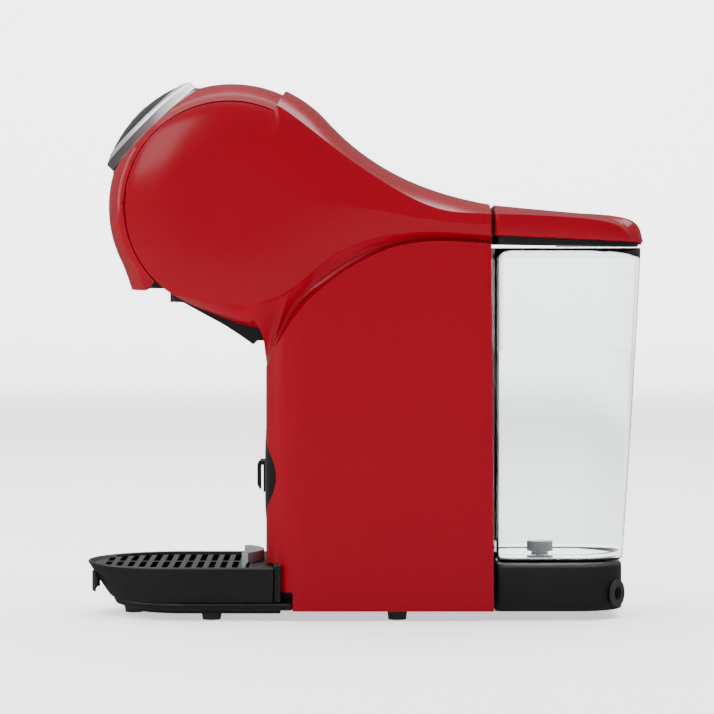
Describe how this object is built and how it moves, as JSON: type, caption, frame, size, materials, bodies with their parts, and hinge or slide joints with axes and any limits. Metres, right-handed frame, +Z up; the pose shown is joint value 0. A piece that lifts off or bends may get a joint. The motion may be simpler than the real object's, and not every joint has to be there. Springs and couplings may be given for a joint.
{
  "type": "pod coffee machine",
  "caption": "Slim pod coffee machine with a round lifting head, pod drawer, tilted dial, drip tray and rear water tank.",
  "frame": {"origin": "on the floor under the middle of the footprint", "axes": "+Z up, the front looks along -X, +Y is the machine's right seen from behind the tank"},
  "size_m": [0.2886, 0.112, 0.2762],
  "materials": {
    "casing_red": "high gloss moulded plastic, red",
    "trim_black": "fine satin moulded plastic, black",
    "gloss_black": "polished plastic, black",
    "tank_clear": "clear moulded plastic",
    "smoke_grey": "translucent grey plastic",
    "ring_metal": "fine turned metal",
    "steel_parts": "plain steel",
    "alloy_parts": "as cast",
    "foot_rubber": "matt",
    "silicone": "translucent silicone",
    "circuit_board": "coated board"
  },
  "bodies": {
    "machine": {"side_shell_left": "casing_red", "side_shell_right": "casing_red", "top_cover": "casing_red", "column_oval_panel": "trim_black", "cup_shelf_hook": "trim_black", "head_underside_cover": "trim_black", "rear_dock": "trim_black", "dock_spigot": "trim_black", "base_plate": "trim_black", "flow_meter": "trim_black", "pivot_pin_left": "steel_parts", "pivot_pin_right": "steel_parts", "pump": "steel_parts", "heater_bracket": "steel_parts", "brew_frame": "alloy_parts", "water_heater": "alloy_parts", "foot_front": "foot_rubber", "foot_tray_left": "foot_rubber", "foot_tray_right": "foot_rubber", "foot_rear_left": "foot_rubber", "foot_rear_right": "foot_rubber", "cable_grommet": "foot_rubber", "pump_mount_front": "foot_rubber", "pump_mount_rear": "foot_rubber", "hose_pump_to_heater": "silicone", "hose_heater_to_head": "silicone", "hose_meter_to_pump": "silicone", "control_board": "circuit_board"},
    "visor": {"visor_shell": "casing_red", "visor_link_left": "trim_black", "visor_link_right": "trim_black", "visor_tie": "steel_parts", "dial_housing": "trim_black", "display_dome": "gloss_black"},
    "selector": {"selector_ring": "ring_metal"},
    "start_key": {"start_button": "gloss_black"},
    "pod_drawer": {"drawer_front": "casing_red", "pod_holder": "trim_black"},
    "injector": {"injector_plate": "alloy_parts", "injector_needle": "steel_parts", "injector_seal": "silicone"},
    "tray": {"drip_tray": "trim_black", "tray_grip": "trim_black"},
    "grid": {"drip_grid": "gloss_black", "tray_collar": "smoke_grey"},
    "tank": {"water_tank": "tank_clear", "inlet_filter": "smoke_grey"},
    "lid": {"tank_lid": "casing_red", "lid_skirt": "trim_black"},
    "valve": {"valve_poppet": "steel_parts"}
  },
  "joints": [
    {"name": "visor_lift", "type": "hinge", "parent": "machine", "child": "visor", "pos_m": [-0.0683, 0, 0.211], "axis": [0, 1, 0], "range_deg": [0, 40]},
    {"name": "selector_turn", "type": "hinge", "parent": "visor", "child": "selector", "pos_m": [-0.0683, 0, 0.211], "axis": [-0.7071, 0, 0.7071], "continuous": true},
    {"name": "start_press", "type": "slide", "parent": "visor", "child": "start_key", "axis": [0.7071, 0, -0.7071], "range_m": [0, 0.001], "stiffness_N_per_m": 600},
    {"name": "drawer_slide", "type": "slide", "parent": "machine", "child": "pod_drawer", "axis": [-1, 0, 0], "range_m": [0, 0.11]},
    {"name": "injector_rise", "type": "slide", "parent": "machine", "child": "injector", "axis": [0, 0, 1], "range_m": [0, 0.008]},
    {"name": "tray_slide", "type": "slide", "parent": "machine", "child": "tray", "axis": [-1, 0, 0], "range_m": [0, 0.12]},
    {"name": "grid_lift", "type": "slide", "parent": "tray", "child": "grid", "axis": [0, 0, 1], "range_m": [0, 0.025]},
    {"name": "tank_lift", "type": "slide", "parent": "machine", "child": "tank", "axis": [0, 0, 1], "range_m": [0, 0.2]},
    {"name": "lid_hinge", "type": "hinge", "parent": "tank", "child": "lid", "pos_m": [0.0738, 0, 0.208], "axis": [0, -1, 0], "range_deg": [0, 70]},
    {"name": "valve_open", "type": "slide", "parent": "tank", "child": "valve", "axis": [0, 0, 1], "range_m": [0, 0.003], "stiffness_N_per_m": 400}
  ],
  "couplings": [
    {"joint": "injector_rise", "follows": "visor_lift", "m_per_rad": 0.01145}
  ]
}
